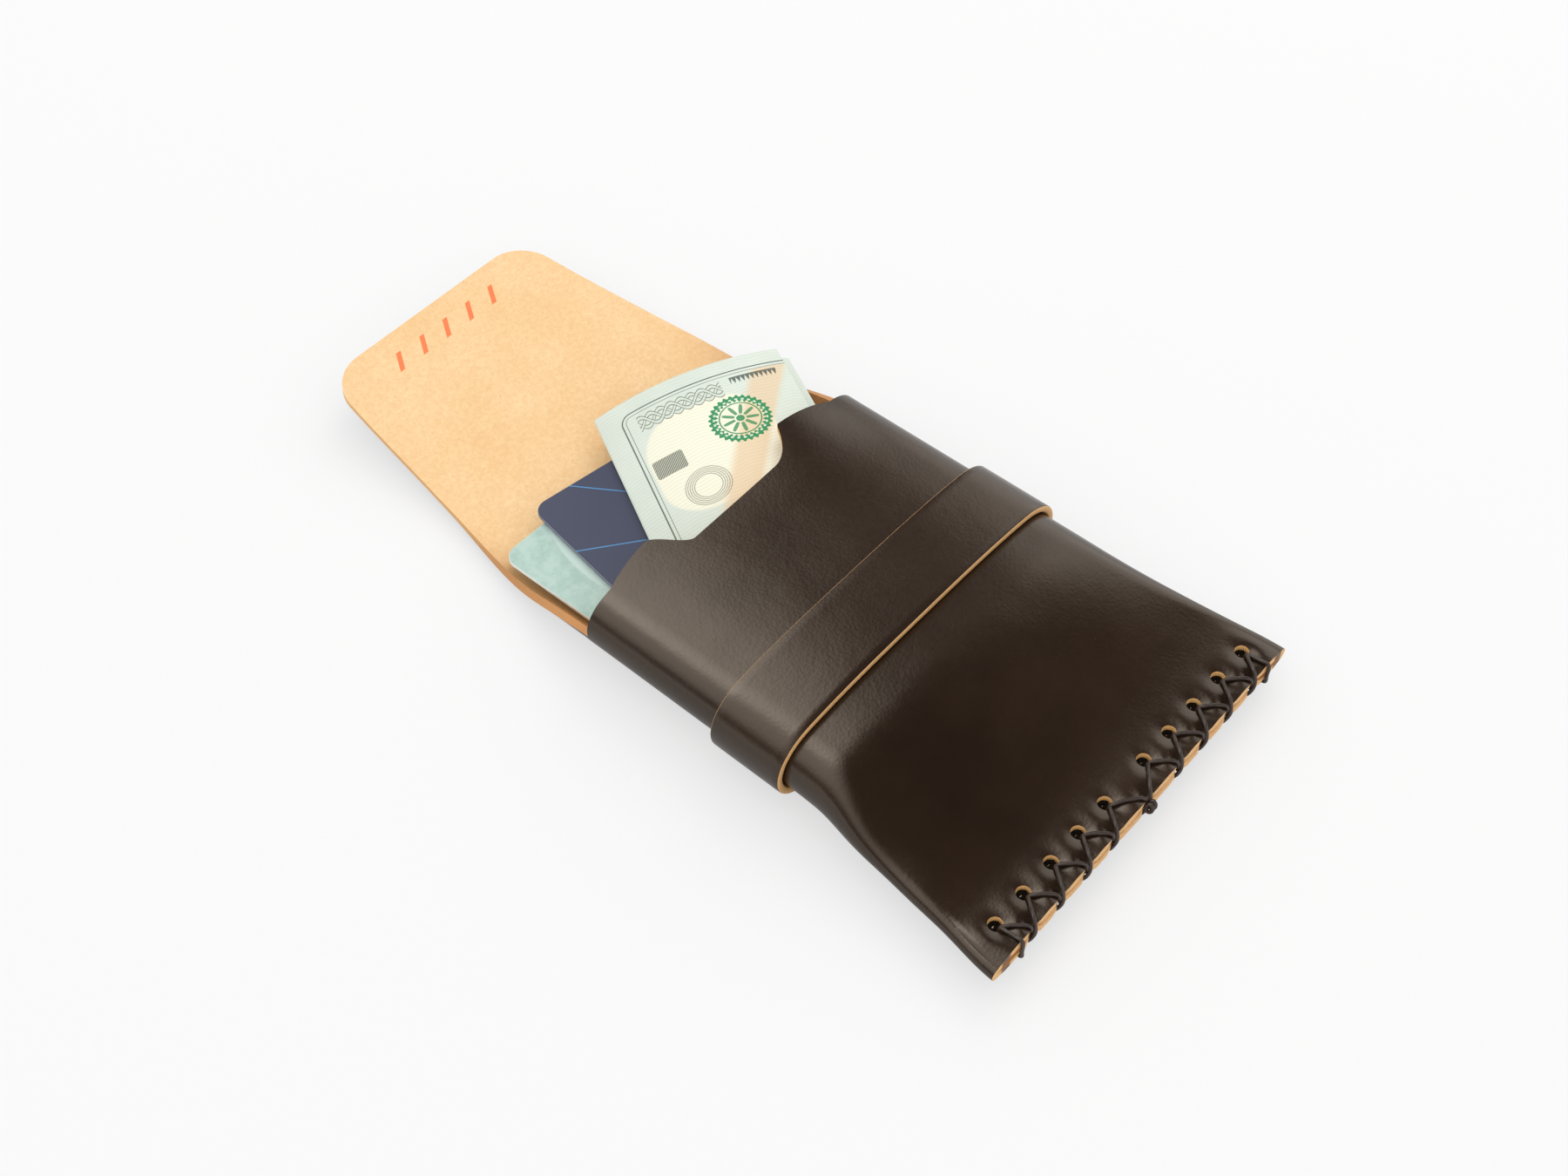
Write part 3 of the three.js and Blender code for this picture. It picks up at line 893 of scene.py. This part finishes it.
# %%
THREAD_R, PLIES, TWIST_PITCH, THREAD_SIDES = 0.37, 3, 2.6, 15
STANDOFF = THREAD_R + 0.02
POST_Y = HOLE_INSET - HOLE_R + THREAD_R + 0.08
THREAD_LOW = SEAM_LIFT - STANDOFF
THREAD_HIGH = SEAM_LIFT + 2 * LEATHER + LAYER_GAP + STANDOFF

waxed = Look("waxed thread", Roughness=0.42, Specular_IOR_Level=0.45)
wax = waxed.noise(700, 4, 0.6)
waxed.color(waxed.blend(wax, srgb(32, 24, 20), srgb(64, 49, 41)))
waxed.rough(wax * 0.3 + 0.3)
waxed.bump((waxed.noise(3500, 3, 0.6), 0.00004))
# painted shade: a darker copy of the thread's colour, for the turns inside the holes
painted_shade_thread = Look("thread in painted shade", Roughness=0.8, Base_Color=srgb(14, 10, 8), Specular_IOR_Level=0.1)
print("thread lies from", round(THREAD_LOW, 2), "to", round(THREAD_HIGH, 2))


# %% [markdown]
# Each length of thread follows a smooth line, and its plies wind round that line.

# %%
def smooth_line(points, per_span=8):
    """A smooth line that runs through all the points."""
    line = []
    points = [Vector(p) for p in points]
    ends = [points[0] * 2 - points[1]] + points + [points[-1] * 2 - points[-2]]
    for i in range(1, len(ends) - 2):
        a, b, c, d = ends[i - 1:i + 3]
        for k in range(per_span):
            t = k / per_span
            line.append(0.5 * (2 * b + (c - a) * t + (2 * a - 5 * b + 4 * c - d) * t * t
                               + (3 * b - a - 3 * c + d) * t ** 3))
    line.append(points[-1])
    return line


def twisted_thread(line, radius, start=0.0):
    """Vertices and faces of a thread whose plies wind round its line."""
    sides = THREAD_SIDES
    vertices, faces = [], []
    normal = None
    run = start
    for i, p in enumerate(line):
        ahead = line[min(i + 1, len(line) - 1)] - line[max(i - 1, 0)]
        ahead.normalize()
        if normal is None:
            normal = ahead.orthogonal().normalized()
        normal = (normal - ahead * normal.dot(ahead)).normalized()
        side = ahead.cross(normal)
        if i:
            run += (p - line[i - 1]).length
        for k in range(sides):
            turn = 2 * math.pi * k / sides
            lobe = 0.86 + 0.14 * abs(math.cos((PLIES * turn - 2 * math.pi * run / TWIST_PITCH) / 2))
            away = normal * math.cos(turn) + side * math.sin(turn)
            vertices.append(p + away * radius * lobe)
    count = len(line)
    for i in range(count - 1):
        for k in range(sides):
            m = (k + 1) % sides
            faces.append((i * sides + k, i * sides + m, (i + 1) * sides + m, (i + 1) * sides + k))
    faces.append(tuple(reversed(range(sides))))
    faces.append(tuple((count - 1) * sides + k for k in range(sides)))
    return vertices, faces


def thread_piece(name, lines, radius, look):
    vertices, faces = [], []
    for index, line in enumerate(lines):
        v, f = twisted_thread(line, radius, start=index * 0.9)
        base = len(vertices)
        vertices += v
        faces += [tuple(base + i for i in face) for face in f]
    piece = make_object(name, vertices, faces, [look.material])
    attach(piece, "wallet")
    return piece


# %% [markdown]
# The thread runs both ways from hole to hole, so that it crosses over the edge. Three round turns
# in the middle stand for the knot.

# %%
def stitch_line(from_x, to_x, over=0.0):
    """Up out of one hole, slantwise to the edge, over it and back to the next hole underneath."""
    corner = STANDOFF * 0.72
    edge_y = 0.75 if from_x != to_x else 0.0

    def at(share, y, z, lift=0.0):
        x = mix(from_x, to_x, share)
        side = 1 if z > POCKET_Z else -1
        return (x, y, z + side * (pucker(x, max(y, 0)) + lift))

    return smooth_line([
        at(0, POST_Y + 0.3, POCKET_Z),
        at(0, POST_Y, THREAD_HIGH - 0.7),
        at(0.03, POST_Y - 0.25, THREAD_HIGH + 0.05),
        at(0.18, POST_Y * 0.66, THREAD_HIGH + 0.04),
        at(0.36, POST_Y * 0.3, THREAD_HIGH, over),
        at(0.44, edge_y - corner, THREAD_HIGH - STANDOFF + corner, over),
        at(0.5, edge_y - STANDOFF - over * 0.8, POCKET_Z),
        at(0.56, edge_y - corner, THREAD_LOW + STANDOFF - corner, over),
        at(0.64, POST_Y * 0.3, THREAD_LOW, over),
        at(0.82, POST_Y * 0.66, THREAD_LOW - 0.04),
        at(0.97, POST_Y - 0.25, THREAD_LOW - 0.05),
        at(1, POST_Y, THREAD_LOW + 0.7),
        at(1, POST_Y + 0.3, POCKET_Z),
    ])


KNOT_Y, KNOT_RISE, KNOT_STEPS = -0.7, 0.5, 24


def knot_line(x, size, turned=False):
    """One round turn of the knot that ties the thread over the edge."""
    points = []
    for i in range(KNOT_STEPS + 1):
        a = 2 * math.pi * i / KNOT_STEPS
        y, z = KNOT_Y + size * math.cos(a), POCKET_Z + KNOT_RISE + size * 0.95 * math.sin(a)
        points.append((x + 0.35 * math.sin(a) + (0.5 if turned else 0), y, z + (0.3 if turned else 0)))
    return smooth_line(points, 2)


lines = [stitch_line(x, x) for x in (HOLE_XS[0], HOLE_XS[-1])]
for a, b in zip(HOLE_XS, HOLE_XS[1:]):
    lines += [stitch_line(a, b), stitch_line(b, a, over=0.62)]
lines += [knot_line(-1.0, 0.66), knot_line(-0.6, 0.42, turned=True), knot_line(-0.1, 0.6)]
lacing = thread_piece("lacing_waxed", lines, THREAD_R, waxed)
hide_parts("lacing_thread")
print("thread faces", len(lacing.data.polygons))

# %% [markdown]
# Slack turns of the thread fill each hole between the two layers of leather; they are painted shade, a
# darker copy of the thread's colour that keeps the holes dark.

# %%
FILL_R, FILL_THREAD_R, FILL_Z = 0.98, 0.42, POCKET_Z + 0.38


def filling_lines(x):
    spiral = []
    for i in range(7):
        reach, turn = FILL_R - 0.2 * i / 6, i * 1.05
        spiral.append((x + reach * math.cos(turn), HOLE_INSET + reach * math.sin(turn), FILL_Z - 0.02 * i))
    across = [(x - 0.55, HOLE_INSET + 0.1, POCKET_Z + 0.2), (x, HOLE_INSET - 0.1, POCKET_Z + 0.25),
              (x + 0.55, HOLE_INSET + 0.1, POCKET_Z + 0.2)]
    return [smooth_line(spiral, 4), smooth_line(across, 3)]


fillings = [line for x in HOLE_XS for line in filling_lines(x)]
filling = thread_piece("lacing_turns_painted_shade", fillings, FILL_THREAD_R, painted_shade_thread)
print("turns in the holes", len(filling.data.polygons))

# %% [markdown]
# ## Cards
#
# Standard cards with generic print: two light blue lines on the dark blue one, and a soft curve
# on the pale green one.

# %%
CARD_W, CARD_L, CARD_T, CARD_R = 53.98, 85.6, 0.76, 3.18
SLOPE = math.radians(2)
CONTENT_FLOOR = BACK_LIFT + LEATHER + REST_GAP + 1.9
GREEN_SPOT, NAVY_SPOT, NOTE_SPOT = (-33.8, 124.4, 0.6), (-22.2, 128.3, -7.9), (2.0, 134.8, -26.8)


def laid(spot, lift):
    x, y, turn = spot
    z = CONTENT_FLOOR + lift / math.cos(SLOPE) - (x - GREEN_SPOT[0]) * math.tan(SLOPE)
    tip = Matrix.Rotation(SLOPE, 4, "Y") @ Matrix.Rotation(math.radians(turn), 4, "Z")
    return Matrix.Translation((x, y, z)) @ tip


CARD_SOFT, CORNER_STEPS = 0.08, 12


def card(name, place, face_look, core_look):
    outline = []
    for cx, cy, start in ((CARD_W - CARD_R, -CARD_R, 90), (CARD_W - CARD_R, -CARD_L + CARD_R, 0),
                          (CARD_R, -CARD_L + CARD_R, -90), (CARD_R, -CARD_R, -180)):
        for i in range(CORNER_STEPS + 1):
            a = math.radians(start - i * 90 / CORNER_STEPS)
            outline.append((cx + CARD_R * math.cos(a), cy + CARD_R * math.sin(a), math.cos(a), math.sin(a)))
    vertices, uvs = [], []
    for z, inset in ((0, CARD_SOFT), (CARD_SOFT, 0), (CARD_T - CARD_SOFT, 0), (CARD_T, CARD_SOFT)):
        for x, y, nx, ny in outline:
            vertices.append(place @ Vector((x - nx * inset, y - ny * inset, z)))
            uvs.append((x / CARD_W, 1 + y / CARD_L))
    count = len(outline)
    faces, kinds = [tuple(range(count)), tuple(reversed(range(3 * count, 4 * count)))], [0, 0]
    for level in range(3):
        for i in range(count):
            j = (i + 1) % count
            a, b = level * count, (level + 1) * count
            faces.append((a + j, a + i, b + i, b + j))
            kinds.append(1)
    piece = make_object(name, vertices, faces, [face_look.material, core_look.material], kinds, uvs)
    face_outwards(piece, 30)
    return piece


# %% [markdown]
# The dark card has its lines on a plain ground. The pale card is clouded, with a lighter arc.

# %%
def line_mask(u, v, a, b, width=0.28):
    """A thin straight line between two places, given across and down the card in millimetres."""
    ax, ay, bx, by = a[0] / CARD_W, 1 - a[1] / CARD_L, b[0] / CARD_W, 1 - b[1] / CARD_L
    nx, ny = -(by - ay) * CARD_L, (bx - ax) * CARD_W
    size = math.hypot(nx, ny)
    return abs((u - ax) * (nx / size * CARD_W) + (v - ay) * (ny / size * CARD_L)) < width / 2


white_core = Look("card core", Roughness=0.5, Base_Color=srgb(228, 232, 226))
navy_core = Look("dark card core", Roughness=0.5, Base_Color=srgb(120, 124, 140))

navy = Look("navy card", Roughness=0.33, Specular_IOR_Level=0.5)
u, v = navy.print_place()
thin_lines = line_mask(u, v, (9, 0), (30, 24)).math("MAXIMUM", line_mask(u, v, (0, 14.5), (30, 31)))
ground = navy.blend(navy.noise(60, 3), srgb(48, 54, 76), srgb(60, 66, 90))
navy.color(navy.blend(thin_lines, ground, srgb(74, 136, 186)))
navy.bump((navy.noise(2600, 2), 0.00001))

green = Look("green card", Roughness=0.4)
u, v = green.print_place()
reach = distance(u - 0.75, (v - 0.80) * (CARD_L / CARD_W))
sweep = green.ramp(reach, (0.40, 0.1), (0.6, 0.9), (0.618, 1), (0.626, 0))
clouds = green.noise(420, 5, 0.65)
ground = green.blend(green.ramp(clouds, (0.38, 0), (0.62, 1)), srgb(164, 192, 182), srgb(182, 207, 198))
green.color(green.blend(sweep * 0.7, ground, srgb(206, 226, 219)))
green.bump((green.noise(2600, 2), 0.00001))

green_card = card("card_green_print", laid(GREEN_SPOT, 0), green, white_core)
navy_card = card("card_navy_print", laid(NAVY_SPOT, CARD_T + REST_GAP), navy, navy_core)
for piece, node, slot in ((green_card, "card_green", "green_card"), (navy_card, "card_navy", "navy_card")):
    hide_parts(node)
    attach(piece, "wallet")
print("cards ready")

# %% [markdown]
# ## Folded note
#
# Four layers of thin paper: two folded sheets, turned at the left edge and bowed.

# %%
NOTE_W, NOTE_L, NOTE_LAYER, NOTE_BOW, NOTE_OFFSET = 39.0, 66.3, 0.34, 3.2, 2.6
NOTE_LEAN, NOTE_SPRING = math.radians(8), math.radians(3)
NOTE_ARCH = (NOTE_W ** 2 / 4 + NOTE_BOW ** 2) / (2 * NOTE_BOW)  # the radius of its bow
PAPER_HALF, NOTE_ROWS, FOLD_SHARE, FOLD_STEPS = 0.055, 26, 0.985, 10


def note_line(away, spread_from, spread_to, steps, sink=0.0):
    line = []
    for i in range(steps + 1):
        turn = mix(spread_from, spread_to, i / steps)
        radius = NOTE_ARCH + away
        x, z = NOTE_W / 2 + radius * math.sin(turn), radius * math.cos(turn) - NOTE_ARCH + NOTE_BOW
        across, up = x * math.cos(sink) + z * math.sin(sink), z * math.cos(sink) - x * math.sin(sink)
        line.append((across, up, turn + sink))
    return line


def note_path(top_away, low_away, reach):
    """Across the top, round the fold and back below, each with the direction away from the paper."""
    spread = math.asin(NOTE_W / 2 / NOTE_ARCH)
    fold = -spread * FOLD_SHARE
    top = note_line(top_away, spread, fold, 40)
    low = note_line(low_away, fold, spread + reach / NOTE_ARCH, 44, NOTE_SPRING)
    path = [(x, z, math.sin(a), math.cos(a)) for x, z, a in top]
    radius = (top_away - low_away) / 2
    cx, cz = (top[-1][0] + low[0][0]) / 2, (top[-1][1] + low[0][1]) / 2
    for i in range(1, FOLD_STEPS):
        a = math.pi * i / FOLD_STEPS
        nx = math.sin(fold) * math.cos(a) - math.cos(fold) * math.sin(a)
        nz = math.cos(fold) * math.cos(a) + math.sin(fold) * math.sin(a)
        path.append((cx + radius * nx, cz + radius * nz, nx, nz))
    return path + [(x, z, -math.sin(a), -math.cos(a)) for x, z, a in low]


def note_sheet(name, path, place, paper):
    """One sheet of paper folded round at the left edge, as a ribbon with its own thickness."""
    rows, last = NOTE_ROWS, len(path) - 1
    vertices, faces, uvs = [], [], []
    lean = Matrix.Rotation(-NOTE_LEAN, 4, "Y")
    length = 0.0
    for i, (x, z, nx, nz) in enumerate(path):
        if i:
            length += math.hypot(x - path[i - 1][0], z - path[i - 1][1])
        for row in range(rows + 1):
            y = -NOTE_L * row / rows
            for side in (PAPER_HALF, -PAPER_HALF):
                vertices.append(place @ lean @ Vector((x + nx * side, y, z + nz * side)))
                uvs.append((1 - length / NOTE_W, 1 - row / rows))

    def at(i, row, side):
        return (i * (rows + 1) + row) * 2 + side

    for i in range(last):
        for row in range(rows):
            faces.append((at(i, row, 0), at(i + 1, row, 0), at(i + 1, row + 1, 0), at(i, row + 1, 0)))
            faces.append((at(i, row, 1), at(i, row + 1, 1), at(i + 1, row + 1, 1), at(i + 1, row, 1)))
        faces.append((at(i, 0, 0), at(i, 0, 1), at(i + 1, 0, 1), at(i + 1, 0, 0)))
        faces.append((at(i, rows, 0), at(i + 1, rows, 0), at(i + 1, rows, 1), at(i, rows, 1)))
    for row in range(rows):
        faces.append((at(0, row, 0), at(0, row + 1, 0), at(0, row + 1, 1), at(0, row, 1)))
        faces.append((at(last, row, 0), at(last, row, 1), at(last, row + 1, 1), at(last, row + 1, 0)))
    piece = make_object(name, vertices, faces, [paper.material], None, uvs)
    face_outwards(piece, 60)
    return piece


# %% [markdown]
# Everything printed on the note is placed in millimetres across it and down from its top.

# %%
paper = Look("note paper", Roughness=0.78, Specular_IOR_Level=0.25)
u, v = paper.print_place()
x_mm, y_mm = u * NOTE_W, (1.0 - v) * NOTE_L
ink = srgb(62, 76, 68)


def print_on(tone, mask, color, strength=1.0):
    return paper.blend(mask * strength, tone, color)


def round_box(cx, cy, half_x, half_y, corner):
    """Distance in from (-) or out of (+) a box with rounded corners."""
    qx = (abs(x_mm - cx) - (half_x - corner)).math("MAXIMUM", 0.0)
    qy = (abs(y_mm - cy) - (half_y - corner)).math("MAXIMUM", 0.0)
    return distance(qx, qy) - corner


def stroke(value, at, width):
    return abs(value - at) < width / 2


print("note print on", NOTE_W, "by", NOTE_L)

# %% [markdown]
# Soft fields of colour come first: a cream field, a slanting peach band and fine waves.

# %%
border = round_box(33.4, 43.6, 30, 40, 2.4)
tone = paper.blend(paper.noise(140, 4), srgb(211, 220, 208), srgb(228, 235, 224))
tone = print_on(tone, round_box(18, 22, 13, 13, 9).fade(0.6, -0.4), srgb(248, 244, 222), 0.95)
slant = y_mm * 0.55 + x_mm
peach = slant.fade(33.0, 35.5) * slant.fade(42.5, 40.5)
tone = print_on(tone, peach * border.fade(-0.8, -1.2), srgb(234, 204, 164), 0.75)
waves = (y_mm * 7.5 + (x_mm * 0.9).sine() * 1.4).sine()
tone = print_on(tone, waves > 0.55, srgb(160, 186, 172), 0.16)
print("fields of colour")

# %% [markdown]
# Then come a double frame with round corners, interlaced waves along the top, a hatched block
# and a row of teeth.

# %%
tone = print_on(tone, stroke(border, 0, 0.3), ink, 0.85)
tone = print_on(tone, stroke(border, -0.85, 0.16), ink, 0.7)
WAVES, WAVE_LENGTH, WAVE_Y, WAVE_RISE = 3, 6.6, 7.6, 1.55
along = x_mm.between(6.5, 24.5)
for phase in range(WAVES):
    curve = (x_mm * (2 * math.pi / WAVE_LENGTH) + phase * 2 * math.pi / WAVES).sine() * WAVE_RISE
    off = y_mm - WAVE_Y - curve
    tone = print_on(tone, along * stroke(off, 0, 0.95), srgb(214, 222, 208), 0.9)
    for side in (-0.5, 0.5):
        tone = print_on(tone, along * stroke(off, side, 0.2), ink, 0.9)
hatch = ((x_mm + y_mm) * 10.0).sine() > 0.0
block = round_box(8.6, 20.5, 3.2, 2.3, 0.5).fade(0.1, 0.0) * (hatch * 0.45 + 0.45)
tone = print_on(tone, block, ink, 0.95)
saw = abs((x_mm * (1 / 0.95)).fraction() - 0.5)
teeth = x_mm.between(26.6, 36.5) * (y_mm > 5.3) * (y_mm < saw * 3.2 + 5.6)
tone = print_on(tone, teeth, ink, 0.85)
print("frame, waves, block and teeth")

# %% [markdown]
# Last come a ring of grey arcs and a green scalloped rosette with petals and pearls.

# %%
ARCS_X, ARCS_Y, ROSE_X, ROSE_Y = 13.5, 29.5, 25.0, 16.5
arcs = distance(x_mm - ARCS_X, y_mm - ARCS_Y)
arc_lines = arcs.between(2.6, 4.8) * ((arcs * 14.0).sine() > -0.1)
tone = print_on(tone, arc_lines, srgb(120, 124, 112), 0.6)

across, down = x_mm - ROSE_X, y_mm - ROSE_Y
far, turn = distance(across, down), down.math("ARCTAN2", across)
scalloped = far + (turn * 30).math("COSINE") * 0.28
petals = (turn * 9).sine() > far * 0.55 - 1.2
for mask, strength in ((scalloped.between(4.7, 6.1), 0.95), (far.between(4.0, 4.3), 0.9),
                       (far.between(1.2, 3.7) * petals, 0.85), (far < 0.85, 0.9)):
    tone = print_on(tone, mask, srgb(22, 140, 84), strength)
pearls = far.between(5.0, 5.45) * ((turn * 26).sine() > 0.1)
tone = print_on(tone, pearls, srgb(222, 234, 220), 0.9)
paper.color(tone)
paper.bump((paper.noise(420, 5, 0.6), 0.00008), (paper.noise(3800, 3), 0.00002))
print("note paper ready")

# %% [markdown]
# The outer sheet is folded round the inner one, and both lie on the dark card.

# %%
note_place = laid(NOTE_SPOT, 2 * (CARD_T + REST_GAP) + 0.1)
NOTE_TOTAL = 2 * NOTE_LAYER + REST_GAP
sheets = []
for name, depth, reach in (("note_outer_layer", 0.06, NOTE_OFFSET),
                           ("note_inner_layer", 0.26, NOTE_OFFSET - 0.6)):
    sheets.append(note_sheet(name, note_path(NOTE_TOTAL - depth, depth, reach), note_place, paper))
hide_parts("banknote")
for piece in sheets:
    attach(piece, "wallet")
print("note faces", [len(piece.data.polygons) for piece in sheets])

# %% [markdown]
# ## Floor
#
# A wide white table that catches the soft shadow.

# %%
FLOOR_HALF, FLOOR_GLOW, FLOOR_SHARE = 3, 0.965, 0.62
floor_look = Look("floor", Roughness=0.9, Base_Color=(0.86, 0.86, 0.86), Specular_IOR_Level=0.1)
glow = floor_look.node("ShaderNodeEmission", Color=(FLOOR_GLOW, FLOOR_GLOW, FLOOR_GLOW, 1), Strength=1.0)
seen = floor_look.node("ShaderNodeLightPath").outputs["Is Camera Ray"]
even_out = floor_look.node("ShaderNodeMixShader")
floor_look.feed(even_out.inputs[0], floor_look.math("MULTIPLY", seen, FLOOR_SHARE))
floor_look.tree.links.new(floor_look.shader.outputs[0], even_out.inputs[1])
floor_look.tree.links.new(glow.outputs[0], even_out.inputs[2])
floor_look.tree.links.new(even_out.outputs[0], floor_look.tree.nodes["Material Output"].inputs["Surface"])
mesh = bpy.data.meshes.new("floor")
mesh.from_pydata([(x * FLOOR_HALF, y * FLOOR_HALF, 0) for x, y in ((-1, -1), (1, -1), (1, 1), (-1, 1))],
                 [], [(0, 1, 2, 3)])
mesh.materials.append(floor_look.material)
floor = new_object("floor", mesh)
floor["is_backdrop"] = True
print("floor of", 2 * FLOOR_HALF, "metres")

# %% [markdown]
# ## Sizes and finish

# %%
def plain(box):
    return [[float(v) for v in corner] for corner in box]


{"cad": plain(cad_box), "visual": plain(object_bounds())}
